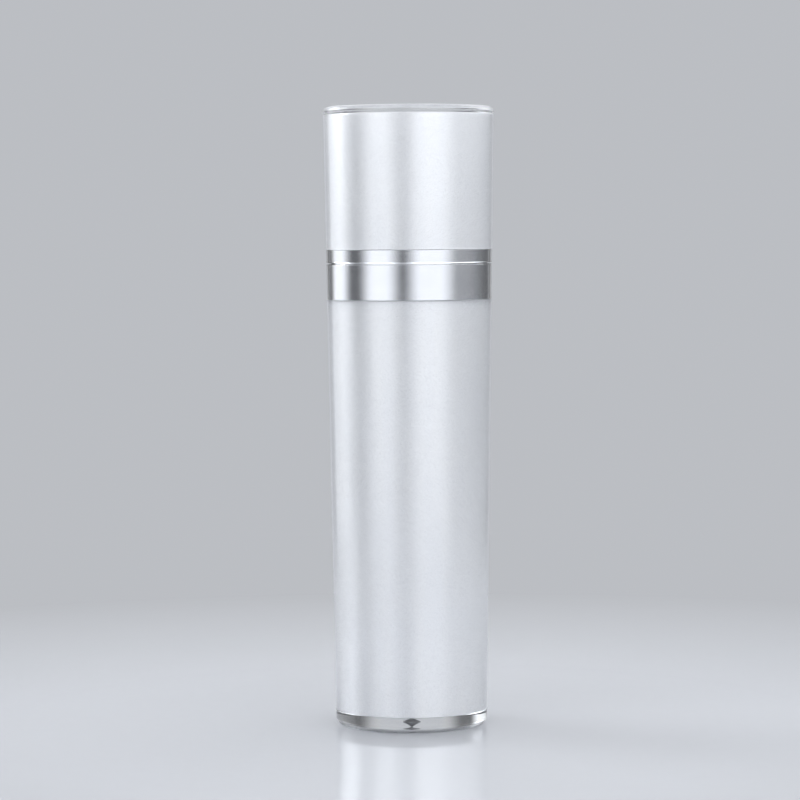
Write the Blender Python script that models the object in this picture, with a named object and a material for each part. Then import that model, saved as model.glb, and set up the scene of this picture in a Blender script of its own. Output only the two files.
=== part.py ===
"""Toner bottle: a clear-walled double bottle with silver shoulder ring, press pump and pull-off cap.

Metres, +Z up. The origin is the middle of the base, on the bottle's axis, which is every joint's axis too.
All heights are above the surface that the bottle stands on.
"""

import math

import bmesh
import bpy
from mathutils import Matrix, Vector

# Clearance between pieces that touch, the steps round each kind of round piece, and a joint's mark
FIT = 0.0003
BODY_STEPS = 48
PUMP_STEPS = 24
HOLE_STEPS = 12
NOZZLE_STEPS = 20
WIRE_STEPS = 6
COIL_STEPS = 14
BALL_RINGS = 10
BALL_SEGMENTS = 16
FRAME_MARK = 0.0050

# Outer form: one straight cone from the base to the cap's top
BASE_DIAMETER = 0.0427
TOP_DIAMETER = 0.0480
RIM_HEIGHT = 0.130
EDGE_ROUND = 0.0003

# Outer bottle
BASE_CORNER = 0.0020
BASE_THICKNESS = 0.0040
BASE_RECESS = 0.0013
FOOT_WIDTH = 0.0026
BODY_WALL = 0.0035
MOUTH_WALL = 0.00075
MOUTH_DEPTH = 0.010
GATE_RADIUS = 0.0018
GATE_DEPTH = 0.0012

# Inner bottle
INNER_WALL = 0.0010
INNER_CORNER = 0.0030
SHOULDER_DROP = 0.0050
NECK_DIAMETER = 0.0215
NECK_WALL = 0.00175
NECK_HEIGHT = 0.0095

# Screw thread, shared by the neck and the closure
THREAD_PITCH = 0.0030
THREAD_DEPTH = 0.0011
THREAD_FOOT = 0.0012
THREAD_CREST = 0.0005
THREAD_LEAD = 0.0020
NECK_THREAD_TURNS = 1.5
CLOSURE_THREAD_TURNS = 1.25
CLOSURE_TURNS_TO_FREE = 1.5
THREAD_ROOT_SINK = 0.0004
THREAD_RUN_OUT_STEPS = 2

# Silver shoulder ring
SLEEVE_WALL = 0.0010
DECK_THICKNESS = 0.0015
SPIGOT_HEIGHT = 0.0040

# Overcap
CAP_WALL = 0.0022
CAP_TOP = 0.0021
CAP_EDGE = 0.0013
LINER_WALL = 0.0010
HEADROOM = 0.0010

# Closure and its silver cover
CLOSURE_WALL = 0.0013
CLOSURE_TOP = 0.0013
COVER_WALL = 0.0007
CLOSURE_HOLE = 0.0120

# Pump, from the gasket down
GASKET_THICKNESS = 0.0010
HOUSING_FLANGE = 0.0012
RETAINER_FLANGE = 0.0008
RETAINER_RIM = 0.0030
RETAINER_GUIDE = 0.0024
RETAINER_SKIRT = 0.0010
RETAINER_LENGTH = 0.0063
HOUSING_WALL = 0.0010
CHAMBER_WIDENING = 0.0016
PUMP_BORE = 0.0086
SPRING_LENGTH = 0.0105
SPRING_WIRE = 0.0006
SPRING_TURNS = 6
SPRING_DIAMETER = 0.0056
SPRING_CLOSED_PITCH = 1.15
CAGE_LIP = 0.0008
BALL_DIAMETER = 0.0040
BALL_LIFT = 0.0012
SEAT_HOLE = 0.0026
SEAT_THICKNESS = 0.0010
TUBE_DIAMETER = 0.0040
TUBE_WALL = 0.0007
TUBE_SOCKET = 0.0060
TUBE_FLOOR_GAP = 0.0030
TUBE_SLANT = 0.35
VENT_DIAMETER = 0.0010

# Stem, rod and piston
STEM_DIAMETER = 0.0060
STEM_BORE = 0.0032
STEM_FLANGE = 0.0012
STEM_FLANGE_PLAY = 0.0003
STEM_TAIL = 0.0034
STROKE = 0.0045
LOST_MOTION = 0.0008
PISTON_HEIGHT = 0.0045
PISTON_LIP = 0.0008
PISTON_WAIST = 0.0007
PISTON_BORE_PLAY = 0.0006
ROD_HEAD_DIAMETER = 0.0068
ROD_HEAD = 0.0010
ROD_LENGTH = 0.0120

# Actuator head
HEAD_DIAMETER = 0.0194
HEAD_HEIGHT = 0.0100
HEAD_REST_GAP = 0.0006
HEAD_WALL = 0.0012
HEAD_RECESS = 0.0052
HEAD_EDGE = 0.0008
DISH_DEPTH = 0.0007
HUB_WALL = 0.0016
HUB_DEPTH = 0.0059
OUTLET_DIAMETER = 0.0018
NOZZLE_ROOT = 0.0044
NOZZLE_TIP = 0.0036
NOZZLE_SINK = 0.0007
NOZZLE_CAP_GAP = 0.0038

# Levels, from the bottle's rim up to the cap's top
MOUTH_FLOOR = RIM_HEIGHT - MOUTH_DEPTH
DECK_TOP = RIM_HEIGHT + SPIGOT_HEIGHT
DECK_BOTTOM = DECK_TOP - DECK_THICKNESS
NECK_TOP = DECK_TOP + NECK_HEIGHT
GASKET_BOTTOM = NECK_TOP + FIT
FLANGE_BOTTOM = GASKET_BOTTOM + GASKET_THICKNESS + FIT
FLANGE_TOP = FLANGE_BOTTOM + HOUSING_FLANGE
RETAINER_SEAT = FLANGE_TOP + FIT
CLOSURE_CEILING = RETAINER_SEAT + RETAINER_FLANGE + FIT
CLOSURE_BOTTOM = DECK_TOP + FIT
CLOSURE_CROWN = CLOSURE_CEILING + CLOSURE_TOP
COVER_CROWN = CLOSURE_CROWN + FIT + COVER_WALL
HEAD_BOTTOM = COVER_CROWN + STROKE + HEAD_REST_GAP
HEAD_TOP = HEAD_BOTTOM + HEAD_HEIGHT
UNSCREW_LIFT = CLOSURE_TURNS_TO_FREE * THREAD_PITCH
LINER_CEILING = HEAD_TOP + UNSCREW_LIFT + HEADROOM
CAP_CEILING = LINER_CEILING + LINER_WALL + FIT
TOTAL_HEIGHT = CAP_CEILING + CAP_TOP
CAP_BOTTOM = RIM_HEIGHT + FIT
LINER_BOTTOM = DECK_TOP + FIT
THREAD_BOTTOM = NECK_TOP - THREAD_LEAD - NECK_THREAD_TURNS * THREAD_PITCH

# Levels, from the housing's flange down to the dip tube
GUIDE_UNDERSIDE = RETAINER_SEAT + RETAINER_FLANGE - RETAINER_GUIDE
RETAINER_BOTTOM = RETAINER_SEAT - RETAINER_LENGTH
CHAMBER_FLOOR = RETAINER_BOTTOM - FIT
STEM_FLANGE_TOP = GUIDE_UNDERSIDE - STEM_FLANGE_PLAY
STEM_BOTTOM = STEM_FLANGE_TOP - STEM_FLANGE - STEM_TAIL
PISTON_TOP = STEM_BOTTOM - LOST_MOTION - FIT
PISTON_BOTTOM = PISTON_TOP - PISTON_HEIGHT
ROD_HEAD_TOP = PISTON_BOTTOM - FIT
ROD_HEAD_BOTTOM = ROD_HEAD_TOP - ROD_HEAD
SPRING_TOP = ROD_HEAD_BOTTOM - FIT
SPRING_BOTTOM = SPRING_TOP - SPRING_LENGTH
SPRING_LEDGE = SPRING_BOTTOM - FIT
CAGE_CEILING = SPRING_LEDGE - CAGE_LIP
BALL_CENTRE = CAGE_CEILING - FIT - BALL_LIFT - BALL_DIAMETER / 2
BALL_ON_SEAT = math.sqrt((BALL_DIAMETER / 2 + FIT) ** 2 - (SEAT_HOLE / 2) ** 2)
VALVE_SEAT = BALL_CENTRE - BALL_ON_SEAT
SOCKET_CEILING = VALVE_SEAT - SEAT_THICKNESS
SOCKET_BOTTOM = SOCKET_CEILING - TUBE_SOCKET
TUBE_TOP = SOCKET_CEILING - FIT
STEM_TOP = HEAD_BOTTOM + HUB_DEPTH
HUB_CEILING = STEM_TOP + FIT
OUTLET_LEVEL = HUB_CEILING + OUTLET_DIAMETER / 2 + FIT

# Radii that several pieces share
THREAD_OUTER = NECK_DIAMETER / 2 + THREAD_DEPTH
CLOSURE_INNER = THREAD_OUTER + FIT
CLOSURE_OUTER = CLOSURE_INNER + CLOSURE_WALL
COVER_INNER = CLOSURE_OUTER + FIT
COVER_OUTER = COVER_INNER + COVER_WALL
CHAMBER_RADIUS = PUMP_BORE / 2 + CHAMBER_WIDENING
STEM_HOLE = STEM_DIAMETER / 2 + FIT
CAGE_RADIUS = BALL_DIAMETER / 2 + FIT
TUBE_HOLE = TUBE_DIAMETER / 2 + FIT


def cone_radius(height):
    """The outer form's radius at a height: a straight line from the base's radius to the top's."""
    share = height / TOTAL_HEIGHT
    return (BASE_DIAMETER + (TOP_DIAMETER - BASE_DIAMETER) * share) / 2


SPIGOT_RADIUS = cone_radius(RIM_HEIGHT) - MOUTH_WALL - FIT
BOTTLE_MOUTH = SPIGOT_RADIUS + FIT


def clear_objects():
    for old in list(bpy.data.objects):
        bpy.data.objects.remove(old, do_unlink=True)


def material(name, colour, roughness, metallic=0.0, transmission=0.0):
    finish = bpy.data.materials.new(name)
    finish.use_nodes = True
    shader = finish.node_tree.nodes["Principled BSDF"]
    shader.inputs["Base Color"].default_value = (*colour, 1.0)
    shader.inputs["Roughness"].default_value = roughness
    shader.inputs["Metallic"].default_value = metallic
    shader.inputs["Transmission Weight"].default_value = transmission
    finish.diffuse_color = (*colour, 1.0)
    return finish


def arc(radius_centre, height_centre, radius, start, end, steps):
    """Points on an arc of a turned outline, between two angles in degrees from the outward direction."""
    points = []
    for i in range(steps + 1):
        angle = math.radians(start + (end - start) * i / steps)
        across = radius_centre + radius * math.cos(angle)
        points.append((across, height_centre + radius * math.sin(angle)))
    return points


def empty(name, height, parent=None):
    """A joint's frame on the bottle's axis. What moves with the joint is its child."""
    frame = bpy.data.objects.new(name, None)
    frame.empty_display_size = FRAME_MARK
    bpy.context.scene.collection.objects.link(frame)
    frame["height"] = height
    place(frame, height, parent)
    return frame


def place(thing, height, parent):
    """Puts an object on the axis at a height above the floor, as a child of its joint's frame."""
    thing.parent = parent
    thing.location = (0, 0, height - (parent["height"] if parent else 0.0))


def from_bmesh(name, shape, finish, height=0.0, parent=None):
    mesh = bpy.data.meshes.new(name)
    bmesh.ops.recalc_face_normals(shape, faces=shape.faces)
    shape.to_mesh(mesh)
    shape.free()
    mesh.shade_smooth()
    mesh.set_sharp_from_angle(angle=math.radians(35))
    if finish:
        mesh.materials.append(finish)
    thing = bpy.data.objects.new(name, mesh)
    bpy.context.scene.collection.objects.link(thing)
    place(thing, height, parent)
    return thing


def turn(outline, steps, base=0.0):
    """Spins an outline of (radius, height) points, which closes on itself or ends on the axis."""
    shape = bmesh.new()
    corners = [shape.verts.new((radius, 0, height - base)) for radius, height in outline]
    edges = [shape.edges.new(pair) for pair in zip(corners, corners[1:])]
    on_axis = outline[0][0] == 0 and outline[-1][0] == 0
    if not on_axis:
        edges.append(shape.edges.new((corners[-1], corners[0])))
    bmesh.ops.spin(
        shape,
        geom=corners + edges,
        cent=(0, 0, 0),
        axis=(0, 0, 1),
        angle=2 * math.pi,
        steps=steps,
        use_merge=True,
    )
    bmesh.ops.remove_doubles(shape, verts=shape.verts, dist=1e-6)
    bmesh.ops.dissolve_degenerate(shape, edges=shape.edges, dist=1e-7)
    return shape


def turned(name, outline, finish, steps=BODY_STEPS, height=0.0, parent=None):
    """A round piece with its origin on the axis at the height given."""
    return from_bmesh(name, turn(outline, steps, height), finish, height, parent)


def hide(tool):
    tool.hide_render = True
    tool.display_type = "WIRE"
    return tool


def boolean(thing, tool, operation):
    step = thing.modifiers.new(tool.name, "BOOLEAN")
    step.operation = operation
    step.object = tool
    step.solver = "EXACT"


def stitch(shape, rings):
    """Joins rings of corners into a tube and closes its two ends."""
    for low, high in zip(rings, rings[1:]):
        for k, corner in enumerate(low):
            after = (k + 1) % len(low)
            shape.faces.new((corner, low[after], high[after], high[k]))
    shape.faces.new(rings[0])
    shape.faces.new(rings[-1])


def thread_ridge(name, root, tip, turns, bottom, steps, height, parent):
    """A trapezoid ridge along a right-hand helix, sunk in its wall, that runs out at both ends."""
    shape = bmesh.new()
    count = round(turns * steps)
    inward = math.copysign(THREAD_ROOT_SINK, root - tip)
    rings = []
    for i in range(count + 1):
        angle = 2 * math.pi * i / steps
        centre = bottom + THREAD_PITCH * i / steps - height
        grown = min(1.0, i / THREAD_RUN_OUT_STEPS, (count - i) / THREAD_RUN_OUT_STEPS)
        crest = root + (tip - root) * grown + (1 - grown) * inward / 2
        section = (
            (root + inward, -THREAD_FOOT / 2),
            (crest, -THREAD_CREST / 2),
            (crest, THREAD_CREST / 2),
            (root + inward, THREAD_FOOT / 2),
        )
        rings.append(
            [
                shape.verts.new((r * math.cos(angle), r * math.sin(angle), centre + rise))
                for r, rise in section
            ]
        )
    stitch(shape, rings)
    return hide(from_bmesh(name, shape, None, height, parent))


def outer_bottle(finish):
    """Clear shell: thick recessed base on a foot ring, the gate's hollow, cavity, and a thin mouth."""
    floor = BASE_THICKNESS
    rim_outer = cone_radius(RIM_HEIGHT)
    corner = BASE_CORNER
    foot = BASE_DIAMETER / 2 - corner - FOOT_WIDTH
    outline = [
        (0.0, BASE_RECESS + GATE_DEPTH),
        (GATE_RADIUS, BASE_RECESS),
        (foot - BASE_RECESS, BASE_RECESS),
        (foot, 0.0),
    ]
    outline += arc(BASE_DIAMETER / 2 - corner, corner, corner, -90, 0, 5)
    outline += arc(rim_outer - EDGE_ROUND, RIM_HEIGHT - EDGE_ROUND, EDGE_ROUND, 0, 90, 2)
    outline += [
        (BOTTLE_MOUTH, RIM_HEIGHT),
        (BOTTLE_MOUTH, MOUTH_FLOOR),
        (cone_radius(MOUTH_FLOOR) - BODY_WALL, MOUTH_FLOOR),
        (cone_radius(floor) - BODY_WALL, floor),
        (0.0, floor),
    ]
    return turned("outer_bottle", outline, finish)


def inner_bottle(finish):
    """Liquid bottle: fills the shell's cavity, with a shoulder under the deck, and a threaded neck."""
    floor = BASE_THICKNESS + FIT
    top = DECK_BOTTOM - FIT
    bend = top - SHOULDER_DROP
    low = cone_radius(floor) - BODY_WALL - FIT
    high = cone_radius(bend) - BODY_WALL - FIT
    neck = NECK_DIAMETER / 2
    bore = neck - NECK_WALL
    corner = INNER_CORNER
    inner_corner = corner - INNER_WALL
    drop = SHOULDER_DROP - INNER_WALL
    outline = [(0.0, floor)]
    outline += arc(low - corner, floor + corner, corner, -90, 0, 3)
    outline += arc(high - SHOULDER_DROP, bend, SHOULDER_DROP, 0, 90, 4)
    outline += [
        (neck, top),
        (neck, NECK_TOP),
        (bore, NECK_TOP),
        (bore, top - INNER_WALL),
    ]
    outline += arc(high - SHOULDER_DROP, bend, drop, 90, 0, 4)
    outline += arc(low - corner, floor + corner, inner_corner, 0, -90, 3)
    outline += [(0.0, floor + INNER_WALL)]
    bottle = turned("inner_bottle", outline, finish)
    ridge = thread_ridge(
        "neck_thread",
        neck,
        neck + THREAD_DEPTH,
        NECK_THREAD_TURNS,
        THREAD_BOTTOM,
        BODY_STEPS,
        0.0,
        None,
    )
    boolean(bottle, ridge, "UNION")
    return bottle


def shoulder_ring(finish):
    """Sleeve in the bottle's mouth, spigot for the cap, and a deck with the neck's hole."""
    inner = SPIGOT_RADIUS - SLEEVE_WALL
    hole = THREAD_OUTER + FIT
    outline = [
        (SPIGOT_RADIUS, MOUTH_FLOOR + FIT),
        (SPIGOT_RADIUS, DECK_TOP - EDGE_ROUND),
        (SPIGOT_RADIUS - EDGE_ROUND, DECK_TOP),
        (hole, DECK_TOP),
        (hole, DECK_BOTTOM),
        (inner, DECK_BOTTOM),
        (inner, MOUTH_FLOOR + FIT),
    ]
    return turned("shoulder_ring", outline, finish, height=MOUTH_FLOOR)


def cap_shell(finish, parent):
    """Clear cup of the overcap, with a round edge at its top and a thin mouth over the spigot."""
    low = cone_radius(CAP_BOTTOM)
    high = cone_radius(TOTAL_HEIGHT)
    outline = [(0.0, TOTAL_HEIGHT)]
    outline += arc(high - CAP_EDGE, TOTAL_HEIGHT - CAP_EDGE, CAP_EDGE, 90, 0, 4)
    outline += arc(low - EDGE_ROUND, CAP_BOTTOM + EDGE_ROUND, EDGE_ROUND, 0, -90, 2)
    outline += [
        (BOTTLE_MOUTH, CAP_BOTTOM),
        (BOTTLE_MOUTH, LINER_BOTTOM),
        (cone_radius(LINER_BOTTOM) - CAP_WALL, LINER_BOTTOM),
        (cone_radius(CAP_CEILING) - CAP_WALL, CAP_CEILING),
        (0.0, CAP_CEILING),
    ]
    return turned("cap_shell", outline, finish, height=CAP_BOTTOM, parent=parent)


def cap_liner(finish, parent):
    """White cup inside the cap shell, whose rim stands on the deck."""
    play = CAP_WALL + FIT
    top = CAP_CEILING - FIT
    outline = [
        (0.0, top),
        (cone_radius(top) - play, top),
        (cone_radius(LINER_BOTTOM) - play, LINER_BOTTOM),
        (cone_radius(LINER_BOTTOM) - play - LINER_WALL, LINER_BOTTOM),
        (cone_radius(LINER_CEILING) - play - LINER_WALL, LINER_CEILING),
        (0.0, LINER_CEILING),
    ]
    return turned("cap_liner", outline, finish, height=CAP_BOTTOM, parent=parent)


def closure_cap(finish, parent):
    """Threaded collar: its ceiling holds the pump's flanges down on the neck."""
    hole = CLOSURE_HOLE / 2
    outline = [
        (CLOSURE_OUTER, CLOSURE_CROWN - EDGE_ROUND),
        (CLOSURE_OUTER, CLOSURE_BOTTOM),
        (CLOSURE_INNER, CLOSURE_BOTTOM),
        (CLOSURE_INNER, CLOSURE_CEILING),
        (hole, CLOSURE_CEILING),
        (hole, CLOSURE_CROWN),
        (CLOSURE_OUTER - EDGE_ROUND, CLOSURE_CROWN),
    ]
    collar = turned("closure_cap", outline, finish, height=CLOSURE_BOTTOM, parent=parent)
    ridge = thread_ridge(
        "closure_thread",
        CLOSURE_INNER,
        NECK_DIAMETER / 2 + FIT,
        CLOSURE_THREAD_TURNS,
        THREAD_BOTTOM + THREAD_PITCH / 2,
        BODY_STEPS,
        CLOSURE_BOTTOM,
        parent,
    )
    boolean(collar, ridge, "UNION")
    return collar


def closure_cover(finish, parent):
    """Silver sleeve over the collar."""
    underside = CLOSURE_CROWN + FIT
    outline = [(CLOSURE_HOLE / 2, COVER_CROWN)]
    outline += arc(COVER_OUTER - COVER_WALL, COVER_CROWN - COVER_WALL, COVER_WALL, 90, 0, 3)
    outline += [
        (COVER_OUTER, CLOSURE_BOTTOM),
        (COVER_INNER, CLOSURE_BOTTOM),
        (COVER_INNER, underside),
        (CLOSURE_HOLE / 2, underside),
    ]
    return turned("closure_cover", outline, finish, height=CLOSURE_BOTTOM, parent=parent)


def neck_gasket(finish, parent):
    top = GASKET_BOTTOM + GASKET_THICKNESS
    outline = [
        (NECK_DIAMETER / 2 - NECK_WALL + FIT, GASKET_BOTTOM),
        (THREAD_OUTER - FIT, GASKET_BOTTOM),
        (THREAD_OUTER - FIT, top),
        (NECK_DIAMETER / 2 - NECK_WALL + FIT, top),
    ]
    return turned("neck_gasket", outline, finish, height=GASKET_BOTTOM, parent=parent)


def pump_housing(finish, parent):
    """Flange, retainer chamber, pump bore, spring ledge, ball cage, valve seat and tube socket."""
    bore = PUMP_BORE / 2
    chamber = CHAMBER_RADIUS
    socket = TUBE_HOLE
    outline = [
        (THREAD_OUTER - FIT, FLANGE_TOP),
        (THREAD_OUTER - FIT, FLANGE_BOTTOM),
        (chamber + HOUSING_WALL, FLANGE_BOTTOM),
        (chamber + HOUSING_WALL, CHAMBER_FLOOR - HOUSING_WALL),
        (bore + HOUSING_WALL, CHAMBER_FLOOR - HOUSING_WALL),
        (bore + HOUSING_WALL, CAGE_CEILING),
        (CAGE_RADIUS + HOUSING_WALL, CAGE_CEILING - HOUSING_WALL),
        (CAGE_RADIUS + HOUSING_WALL, SOCKET_CEILING),
        (socket + HOUSING_WALL, SOCKET_CEILING - HOUSING_WALL),
        (socket + HOUSING_WALL, SOCKET_BOTTOM),
        (socket, SOCKET_BOTTOM),
        (socket, SOCKET_CEILING),
        (SEAT_HOLE / 2, SOCKET_CEILING),
        (SEAT_HOLE / 2, VALVE_SEAT),
        (CAGE_RADIUS, VALVE_SEAT),
        (CAGE_RADIUS, CAGE_CEILING),
        (SEAT_HOLE / 2, CAGE_CEILING),
        (SEAT_HOLE / 2, SPRING_LEDGE),
        (bore, SPRING_LEDGE),
        (bore, CHAMBER_FLOOR),
        (chamber, CHAMBER_FLOOR),
        (chamber, FLANGE_TOP),
    ]
    housing = turned("pump_housing", outline, finish, PUMP_STEPS, FLANGE_BOTTOM, parent)
    level = (CHAMBER_FLOOR + FLANGE_BOTTOM) / 2
    outside = chamber + 2 * HOUSING_WALL
    drill = drilled_hole("vent_hole", VENT_DIAMETER, chamber - FIT, outside, level, parent)
    boolean(housing, drill, "DIFFERENCE")
    return housing


def forward(start, end):
    """Lays a cone that stands on +Z along -Y, between two distances off the axis."""
    return Matrix.Translation((0, -(start + end) / 2, 0)) @ Matrix.Rotation(math.pi / 2, 4, "X")


def drilled_hole(name, diameter, start, end, level, parent):
    """A cutter along -Y, from one distance off the axis to another, at a level."""
    shape = bmesh.new()
    bmesh.ops.create_cone(
        shape,
        cap_ends=True,
        segments=HOLE_STEPS,
        radius1=diameter / 2,
        radius2=diameter / 2,
        depth=end - start,
        matrix=forward(start, end),
    )
    return hide(from_bmesh(name, shape, None, level, parent))


def housing_retainer(finish, parent):
    """Plug in the housing's top: flange under the collar, stem guide, and a skirt in the chamber."""
    outer = CHAMBER_RADIUS - FIT
    skirt = outer - RETAINER_SKIRT
    top = RETAINER_SEAT + RETAINER_FLANGE
    outline = [
        (CHAMBER_RADIUS + RETAINER_RIM, RETAINER_SEAT),
        (CHAMBER_RADIUS + RETAINER_RIM, top),
        (CLOSURE_HOLE / 2 - FIT, top),
        (CLOSURE_HOLE / 2 - FIT, CLOSURE_CROWN),
        (STEM_HOLE, CLOSURE_CROWN),
        (STEM_HOLE, GUIDE_UNDERSIDE),
        (skirt, GUIDE_UNDERSIDE),
        (skirt, RETAINER_BOTTOM),
        (outer, RETAINER_BOTTOM),
        (outer, RETAINER_SEAT),
    ]
    return turned("housing_retainer", outline, finish, PUMP_STEPS, RETAINER_SEAT, parent)


def dip_tube(finish, parent):
    """Suction tube from its socket to just over the inner bottle's floor, cut on a slant."""
    bottom = BASE_THICKNESS + FIT + INNER_WALL + TUBE_FLOOR_GAP
    outer = TUBE_DIAMETER / 2
    outline = [
        (outer, TUBE_TOP),
        (outer, bottom),
        (outer - TUBE_WALL, bottom),
        (outer - TUBE_WALL, TUBE_TOP),
    ]
    shape = turn(outline, PUMP_STEPS, TUBE_TOP)
    for corner in shape.verts:
        if corner.co.z < bottom - TUBE_TOP + FIT:
            corner.co.z += TUBE_SLANT * corner.co.x
    return from_bmesh("dip_tube", shape, finish, TUBE_TOP, parent)


def inlet_ball(finish, parent):
    shape = bmesh.new()
    bmesh.ops.create_uvsphere(
        shape,
        u_segments=BALL_SEGMENTS,
        v_segments=BALL_RINGS,
        radius=BALL_DIAMETER / 2,
    )
    return from_bmesh("inlet_ball", shape, finish, BALL_CENTRE, parent)


def coil_height(turns):
    """How far a coil has climbed: slowly in its closed first and last turns, and evenly between."""
    closed = SPRING_WIRE * SPRING_CLOSED_PITCH
    open_rise = SPRING_LENGTH - SPRING_WIRE - 2 * closed
    share = min(max((turns - 1) / (SPRING_TURNS - 2), 0.0), 1.0)
    last = max(turns - (SPRING_TURNS - 1), 0.0)
    return closed * (min(turns, 1.0) + last) + open_rise * share


def return_spring(finish, parent):
    """Coil spring from the ledge up to the rod's head."""
    wire = SPRING_WIRE / 2
    mean = SPRING_DIAMETER / 2
    shape = bmesh.new()
    rings = []
    for i in range(SPRING_TURNS * COIL_STEPS + 1):
        turns = i / COIL_STEPS
        angle = 2 * math.pi * turns
        out = Vector((math.cos(angle), math.sin(angle), 0))
        centre = out * mean + Vector((0, 0, wire + coil_height(turns)))
        ring = []
        for k in range(WIRE_STEPS):
            side = 2 * math.pi * (k + 0.5) / WIRE_STEPS
            offset = out * math.cos(side) + Vector((0, 0, math.sin(side)))
            ring.append(shape.verts.new(centre + offset * wire))
        rings.append(ring)
    stitch(shape, rings)
    return from_bmesh("return_spring", shape, finish, SPRING_BOTTOM, parent)


def pump_stem(finish, parent):
    """Hollow stem with the flange that stops it under the retainer's guide."""
    outer = STEM_DIAMETER / 2
    flange = PUMP_BORE / 2 - FIT
    flange_bottom = STEM_FLANGE_TOP - STEM_FLANGE
    outline = [
        (outer, STEM_TOP),
        (outer, STEM_FLANGE_TOP),
        (flange, STEM_FLANGE_TOP),
        (flange, flange_bottom),
        (outer, flange_bottom),
        (outer, STEM_BOTTOM),
        (STEM_BORE / 2, STEM_BOTTOM),
        (STEM_BORE / 2, STEM_TOP),
    ]
    return turned("pump_stem", outline, finish, PUMP_STEPS, STEM_BOTTOM, parent)


def piston_rod(finish, parent):
    """Rod up the stem's bore, with the head that the piston seals on and the spring lifts."""
    shaft = STEM_BORE / 2 - FIT
    head = ROD_HEAD_DIAMETER / 2
    outline = [
        (0.0, ROD_HEAD_BOTTOM),
        (head, ROD_HEAD_BOTTOM),
        (head, ROD_HEAD_TOP),
        (shaft, ROD_HEAD_TOP),
        (shaft, ROD_HEAD_TOP + ROD_LENGTH),
        (0.0, ROD_HEAD_TOP + ROD_LENGTH),
    ]
    return turned("piston_rod", outline, finish, PUMP_STEPS, ROD_HEAD_BOTTOM, parent)


def pump_piston(finish, parent):
    """Sliding seal with a lip at each end and a waist between them."""
    lip = PUMP_BORE / 2 - FIT
    waist = lip - PISTON_WAIST
    bore = STEM_BORE / 2 - FIT + PISTON_BORE_PLAY
    outline = [
        (lip, PISTON_BOTTOM),
        (lip, PISTON_BOTTOM + PISTON_LIP),
        (waist, PISTON_BOTTOM + 2 * PISTON_LIP),
        (waist, PISTON_TOP - 2 * PISTON_LIP),
        (lip, PISTON_TOP - PISTON_LIP),
        (lip, PISTON_TOP),
        (bore, PISTON_TOP),
        (bore, PISTON_BOTTOM),
    ]
    return turned("pump_piston", outline, finish, PUMP_STEPS, PISTON_BOTTOM, parent)


def actuator_head(finish, parent):
    """Finger pad: dished top, skirt, hub over the stem, and a nozzle drilled from the hub."""
    outer = HEAD_DIAMETER / 2
    hub = STEM_DIAMETER / 2 + FIT + HUB_WALL
    recess = HEAD_BOTTOM + HEAD_RECESS
    outlet = OUTLET_DIAMETER / 2
    dish = outer - 2 * HEAD_EDGE
    well_top = OUTLET_LEVEL + outlet + FIT
    dish_curve = (dish**2 + DISH_DEPTH**2) / (2 * DISH_DEPTH)
    outline = []
    for share in (0.0, 0.35, 0.7, 1.0):
        hollow = DISH_DEPTH - dish_curve + math.sqrt(dish_curve**2 - (share * dish) ** 2)
        outline.append((share * dish, HEAD_TOP - hollow))
    outline += arc(outer - HEAD_EDGE, HEAD_TOP - HEAD_EDGE, HEAD_EDGE, 90, 0, 3)
    outline += [
        (outer, HEAD_BOTTOM),
        (outer - HEAD_WALL, HEAD_BOTTOM),
        (outer - HEAD_WALL, recess),
        (hub, recess),
        (hub, HEAD_BOTTOM),
        (STEM_HOLE, HEAD_BOTTOM),
        (STEM_HOLE, HUB_CEILING),
        (STEM_BORE / 2, HUB_CEILING),
        (STEM_BORE / 2, well_top),
        (0.0, well_top),
    ]
    head = turned("actuator_head", outline, finish, PUMP_STEPS * 2, HEAD_BOTTOM, parent)
    reach = cone_radius(HEAD_BOTTOM) - CAP_WALL - FIT - LINER_WALL - NOZZLE_CAP_GAP
    start = outer - NOZZLE_SINK
    spout = bmesh.new()
    bmesh.ops.create_cone(
        spout,
        cap_ends=True,
        segments=NOZZLE_STEPS,
        radius1=NOZZLE_ROOT / 2,
        radius2=NOZZLE_TIP / 2,
        depth=reach - start,
        matrix=forward(start, reach),
    )
    nozzle = hide(from_bmesh("nozzle", spout, None, OUTLET_LEVEL, parent))
    boolean(head, nozzle, "UNION")
    drill = drilled_hole("outlet", OUTLET_DIAMETER, 0.0, reach + HEAD_WALL, OUTLET_LEVEL, parent)
    boolean(head, drill, "DIFFERENCE")
    return head


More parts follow.
